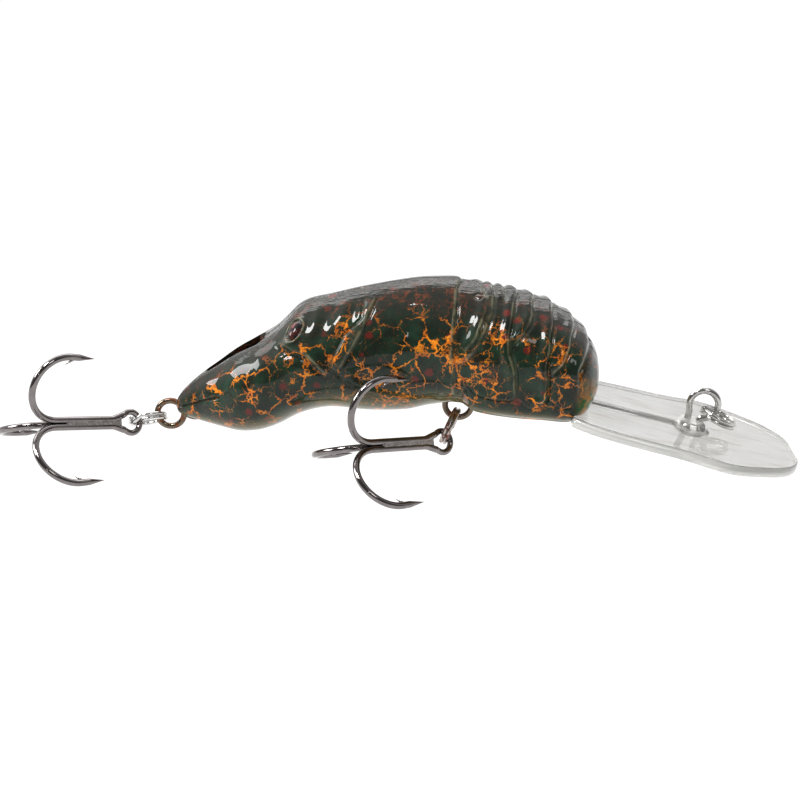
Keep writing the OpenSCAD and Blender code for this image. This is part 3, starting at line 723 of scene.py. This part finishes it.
def split_ring(at, lean, twist, ring_r=2.6, wire=0.58):
    gap, cross, count = 24, 16, 260
    turn = gap + (720 - 2 * gap) * np.arange(count) / (count - 1)
    rise = np.clip((turn - 360) / cross, -1, 1)
    rise = np.sin(math.pi / 2 * rise) * (wire / 2 - 0.01) * 1.04
    angle = np.radians(turn)
    path = np.stack([ring_r * np.cos(angle), ring_r * np.sin(angle), rise], -1)
    ends = np.minimum(np.arange(count), np.arange(count)[::-1])
    radii = wire / 2 * 0.97 * np.where(ends < 3, 0.8 + 0.07 * ends, 1)
    points, faces = sweep(path, radii, 16)
    return turned(turned(points, (0, 0, twist)), lean) + at, faces


def hanger(at, lean, wire=0.9, radius=1.93):
    """Figure of eight: the loop outside, and the loop between the body halves."""
    loops = [sweep(arc((shift, 0, 0), radius, 0, 360, 97)[:-1], wire / 2, 20, closed=True)
             for shift in (0, 2 * radius)]
    points, faces = joined(*loops)
    return turned(points, (0, -lean, 0)) + at, faces


add_piece("line_tie_loop", *line_tie(), TIE_STEEL, "lure_body", "tie_steel", ["line_tie_eye"])
add_piece("line_tie_ring", *split_ring([78.63, 0, -1.71], (0, 27, 0), 200), RING_STEEL, "tie_ring", "ring_steel",
          ["line_tie_split_ring"])
add_piece("tail_ring", *split_ring([-4.17, -0.03, -2.29], (-24.7, -10.5, 0), 250), RING_STEEL, "tail_ring",
          "ring_steel", ["tail_split_ring"])
add_piece("belly_ring", *split_ring([39.81, -1.08, -2.82], (10.1, 112.4, 0), 60), STAINED_RING, "belly_ring",
          "stained_ring", ["belly_split_ring"])
add_piece("tail_hanger", *hanger([-0.82, 0, -1.46], 22), HANGER_WIRE, "lure_body", "painted_hanger",
          ["tail_hanger_eye"])
add_piece("belly_hanger", *hanger([41.0, 0, 0.05], 90), HANGER_WIRE, "lure_body", "painted_hanger",
          ["belly_hanger_eye"])

# ---- treble hooks, each in its own frame: eye at the origin, shank along +X ----
WIRE_R = 0.5
EYE_R = 1.55
EYE_OPEN = 48
NECK_X = 3.0
SHANK = 12.7
BEND_R = 4.8
POINT_LEN = 3.9
POINT_DROP = 4
THIRD_OFF = 0.87
BARB_AT = 0.6
FORK = 0.332                          # how fast the two wires part from the neck to the eye
BRAZE_X = (1.72, 11.1)                # where the braze starts and ends along the shanks
BRAZE_SIDES = 48


def bend_and_point():
    """Bend that opens towards +Z, and its point, starting at the origin along +X."""
    bend = arc((0, 0, BEND_R), BEND_R, -90, 90 + POINT_DROP, 110)
    drop = math.radians(POINT_DROP)
    heading = np.array([-math.cos(drop), 0, -math.sin(drop)])
    steps = np.linspace(0, POINT_LEN, 40)[1:]
    leg = bend[-1] + np.outer(steps, heading)
    radii = WIRE_R * np.concatenate([np.ones(len(bend)), np.interp(steps, [0, 1.3, POINT_LEN], [1, 0.97, 0.05])])
    return np.concatenate([bend, leg]), radii


def barb():
    """Thin wedge cut up from the point's inner side."""
    drop = math.radians(POINT_DROP)
    base = arc((0, 0, BEND_R), BEND_R, -90, 90 + POINT_DROP, 2)[-1]
    ahead = np.array([-math.cos(drop), 0, -math.sin(drop)])
    inward = np.array([math.sin(drop), 0, -math.cos(drop)])
    outline = [(1.3, 0.0), (0.85, 0.40), (0.1, 0.78), (-0.85, 1.30), (-0.42, 0.72), (0.0, 0.34), (-0.45, 0.0)]
    rim = np.array([base + (BARB_AT - 0.5 + a) * ahead + b * inward for a, b in outline])
    middle = base + (BARB_AT - 0.5 + 0.25) * ahead + 0.25 * inward
    sides = [middle + [0, s * 0.34, 0] for s in (-1, 1)]
    count = len(rim)
    faces = [[i, (i + 1) % count, count] for i in range(count)]
    faces += [[(i + 1) % count, i, count + 1] for i in range(count)]
    return np.vstack([rim, sides]), faces


def double_hook():
    """One wire from point to point, round the eye."""
    bend, bend_radii = bend_and_point()
    legs, radii, barbs = [], [], []
    for side, lean in ((1, -30), (-1, -150)):
        end = (EYE_R * math.cos(math.radians(EYE_OPEN)), 0, side * EYE_R * math.sin(math.radians(EYE_OPEN)))
        neck = (NECK_X, 0, side * WIRE_R)
        start = (SHANK, 0, side * WIRE_R)
        leg = np.concatenate([line(end, neck)[1:], line(neck, start)[1:],
                              turned(bend, (lean, 0, 0))[1:] + start])
        legs.append(leg)
        radii.append(np.concatenate([np.full(len(leg) - len(bend) + 1, WIRE_R), bend_radii[1:]]))
        points, faces = barb()
        barbs.append((turned(points, (lean, 0, 0)) + start, faces))
    eye = arc((0, 0, 0), EYE_R, EYE_OPEN, 360 - EYE_OPEN, 110)
    path = eased(np.concatenate([legs[0][::-1], eye, legs[1]]), 6)
    eye_radii = np.full(len(eye), WIRE_R * 0.9)
    return joined(sweep(path, np.concatenate([radii[0][::-1], eye_radii, radii[1]]), 20), *barbs)


def single_hook():
    bend, bend_radii = bend_and_point()
    start = np.array([SHANK, -THIRD_OFF, 0])
    shank = line((3.4, -THIRD_OFF, 0), start)[:-1]
    path = np.concatenate([shank, turned(bend, (90, 0, 0)) + start])
    radii = np.concatenate([WIRE_R * np.interp(shank[:, 0], [3.4, 3.7], [0.72, 1]), bend_radii])
    points, faces = barb()
    return joined(sweep(path, radii, 20), (turned(points, (90, 0, 0)) + start, faces))


def braze():
    """Metal that fills the grooves between the shanks nearly flush, and the fork below the eye."""
    angle = 2 * math.pi * np.arange(BRAZE_SIDES) / BRAZE_SIDES
    heading = np.stack([np.cos(angle), np.sin(angle)], -1)
    rows = []
    for x in np.concatenate([[BRAZE_X[0]], np.linspace(1.8, 10.9, 60), [BRAZE_X[1]]]):
        apart = WIRE_R + max(0, NECK_X - x) * FORK
        third = -THIRD_OFF * smooth(x, 2.9, 3.9)
        wires = np.array([[0, apart], [0, -apart], [third, 0]])
        nearest = wires[np.argmax(heading @ wires.T, axis=1)]
        reach = 0.22 if x in BRAZE_X else 0.45 - 0.10 * smooth(-x, -3.4, -2.0) + 0.01 * math.sin(3.1 * x)
        rows.append(np.column_stack([np.full(BRAZE_SIDES, x), nearest + reach * heading]))
    return np.concatenate(rows), skin(len(rows), BRAZE_SIDES, flip=True)


TREBLES = {"tail": ([-6.66, -0.36, -2.75], (20.6, -11.6, -137.3)),
           "belly": ([38.63, -3.31, -4.51], (22.0, -9.1, -141.3))}
for end, (at, lean) in TREBLES.items():
    for part, shape, look, slot in (("double_hook", double_hook, BLACK_NICKEL, "hook_black_nickel"),
                                    ("single_hook", single_hook, BLACK_NICKEL, "hook_black_nickel"),
                                    ("braze", braze, BRAZE, "hook_braze")):
        points, faces = shape()
        add_piece(f"{end}_{part}", turned(points, lean) + at, faces, look, f"{end}_treble", slot,
                  [f"{end}_treble_{part}"])

# ---- inner pieces keep their CAD shape ----
INNER = {"ballast_slug": dull_lead(), "rattle_tube": milky_plastic(), "rattle_tube_plug": milky_plastic(),
         "rattle_ball_front": TIE_STEEL, "rattle_ball_rear": TIE_STEEL}
for node, look in INNER.items():
    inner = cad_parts[node]
    inner.data.materials.clear()
    inner.data.materials.append(look)

# ---- camera, light and floor ----
low, high = (Vector(corner) for corner in cad_box)
target = Vector((low.x + 0.0575, 0, 0.0005))
AZIMUTH, ELEVATION, DISTANCE = math.radians(0.7), math.radians(17.8), 0.260
outward = Vector((math.sin(AZIMUTH) * math.cos(ELEVATION), -math.cos(AZIMUTH) * math.cos(ELEVATION),
                  math.sin(ELEVATION)))
camera_data = bpy.data.cameras.new("camera")
camera_data.lens = 80.73
camera_data.clip_start = 0.01
camera = bpy.data.objects.new("camera", camera_data)
camera.location = target + outward * DISTANCE
camera.rotation_euler = (-outward).to_track_quat("-Z", "Y").to_euler()
bpy.context.scene.collection.objects.link(camera)
bpy.context.scene.camera = camera


def softbox(name, azimuth, elevation, distance, size, radiance):
    """Area light aimed at the lure. Azimuth turns from the camera's side towards the lure's rear."""
    a, e = math.radians(azimuth), math.radians(elevation)
    way = Vector((-math.sin(a) * math.cos(e), -math.cos(a) * math.cos(e), math.sin(e)))
    data = bpy.data.lights.new(name, "AREA")
    data.shape = "RECTANGLE"
    data.size, data.size_y = size
    data.energy = radiance * math.pi * size[0] * size[1]
    lamp = bpy.data.objects.new(name, data)
    lamp.location = target + way * distance
    lamp.rotation_euler = (-way).to_track_quat("-Z", "Y").to_euler()
    bpy.context.scene.collection.objects.link(lamp)


softbox("left_box", 88, 33, 0.5, (0.24, 0.16), 16)
softbox("key_box", 55, 63, 0.5, (0.12, 0.12), 38)
softbox("front_strip", 11, 24, 0.6, (0.02, 0.06), 12)
softbox("top_box", 165, 50, 0.6, (0.8, 0.24), 3.5)
softbox("right_box", -30, 44, 0.6, (0.14, 0.14), 6)

world = bpy.data.worlds.new("studio")
world.use_nodes = True
bpy.context.scene.world = world
tree = world.node_tree
sky = tree.nodes["Background"]
way = tree.nodes.new("ShaderNodeTexCoord")
split = tree.nodes.new("ShaderNodeSeparateXYZ")
fade = tree.nodes.new("ShaderNodeMapRange")
tree.links.new(way.outputs["Generated"], split.inputs[0])
tree.links.new(split.outputs["Y"], fade.inputs[0])
for index, value in enumerate((-0.35, 0.35, 0.15, 0.75), start=1):
    fade.inputs[index].default_value = value
tree.links.new(fade.outputs[0], sky.inputs["Strength"])
sky.inputs["Color"].default_value = (1, 1, 1, 1)

FLOOR_DROP = 0.055
floor_mesh = bpy.data.meshes.new("floor")
FLOOR_HALF = 3.0
floor_z = low.z - FLOOR_DROP
floor_mesh.from_pydata([(x, y, floor_z) for x, y in ((-FLOOR_HALF, -FLOOR_HALF), (FLOOR_HALF, -FLOOR_HALF),
                                                     (FLOOR_HALF, FLOOR_HALF), (-FLOOR_HALF, FLOOR_HALF))],
                       [], [(0, 1, 2, 3)])
floor = bpy.data.objects.new("floor", floor_mesh)
bpy.context.scene.collection.objects.link(floor)
paper = Look("pale_floor", Roughness=0.9, Emission_Strength=0.9)
paper.set("Base Color", (0.15, 0.15, 0.15))
paper.set("Emission Color", (1, 1, 1))
floor_mesh.materials.append(paper.material)
bpy.context.scene.view_settings.view_transform = "Standard"
